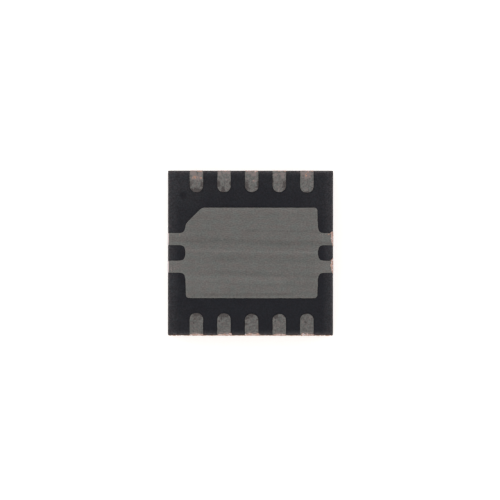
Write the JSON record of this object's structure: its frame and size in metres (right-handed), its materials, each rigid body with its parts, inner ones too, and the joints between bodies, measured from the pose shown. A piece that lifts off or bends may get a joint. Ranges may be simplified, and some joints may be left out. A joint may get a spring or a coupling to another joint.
{
  "type": "electronic fuse chip",
  "caption": "Flat square chip package that switches and limits a supply current, with solder lands along opposite edges and a large bare pad with a bevelled corner.",
  "frame": {"origin": "centre of the marked face, which is also the middle of the body's base as it lies in the picture", "axes": "+Z out of the soldered side, +Y towards the row of lands 1 to 5, +X along that row from land 1 to land 5"},
  "size_m": [0.003, 0.003, 0.0009],
  "materials": {
    "mould_compound": "fine-grained black moulding compound, sawn at the four sides",
    "lead_frame": "dull grey plating on copper, brushed lightly, bare where sawn",
    "silicon": "dark polished silicon",
    "die_adhesive": "silver-filled adhesive",
    "bond_wire": "drawn copper"
  },
  "bodies": {
    "root": {"mould_body": "mould_compound", "die_pad": "lead_frame", "die_attach": "die_adhesive", "die": "silicon", "lead_1": "lead_frame", "lead_2": "lead_frame", "lead_3": "lead_frame", "lead_4": "lead_frame", "lead_5": "lead_frame", "lead_6": "lead_frame", "lead_7": "lead_frame", "lead_8": "lead_frame", "lead_9": "lead_frame", "lead_10": "lead_frame", "wire_1": "bond_wire", "wire_2": "bond_wire", "wire_3a": "bond_wire", "wire_3b": "bond_wire", "wire_4a": "bond_wire", "wire_4b": "bond_wire", "wire_5a": "bond_wire", "wire_5b": "bond_wire", "wire_6a": "bond_wire", "wire_6b": "bond_wire", "wire_7a": "bond_wire", "wire_7b": "bond_wire", "wire_8a": "bond_wire", "wire_8b": "bond_wire", "wire_9": "bond_wire", "wire_10": "bond_wire", "ground_wire_left": "bond_wire", "ground_wire_right": "bond_wire"}
  },
  "joints": []
}
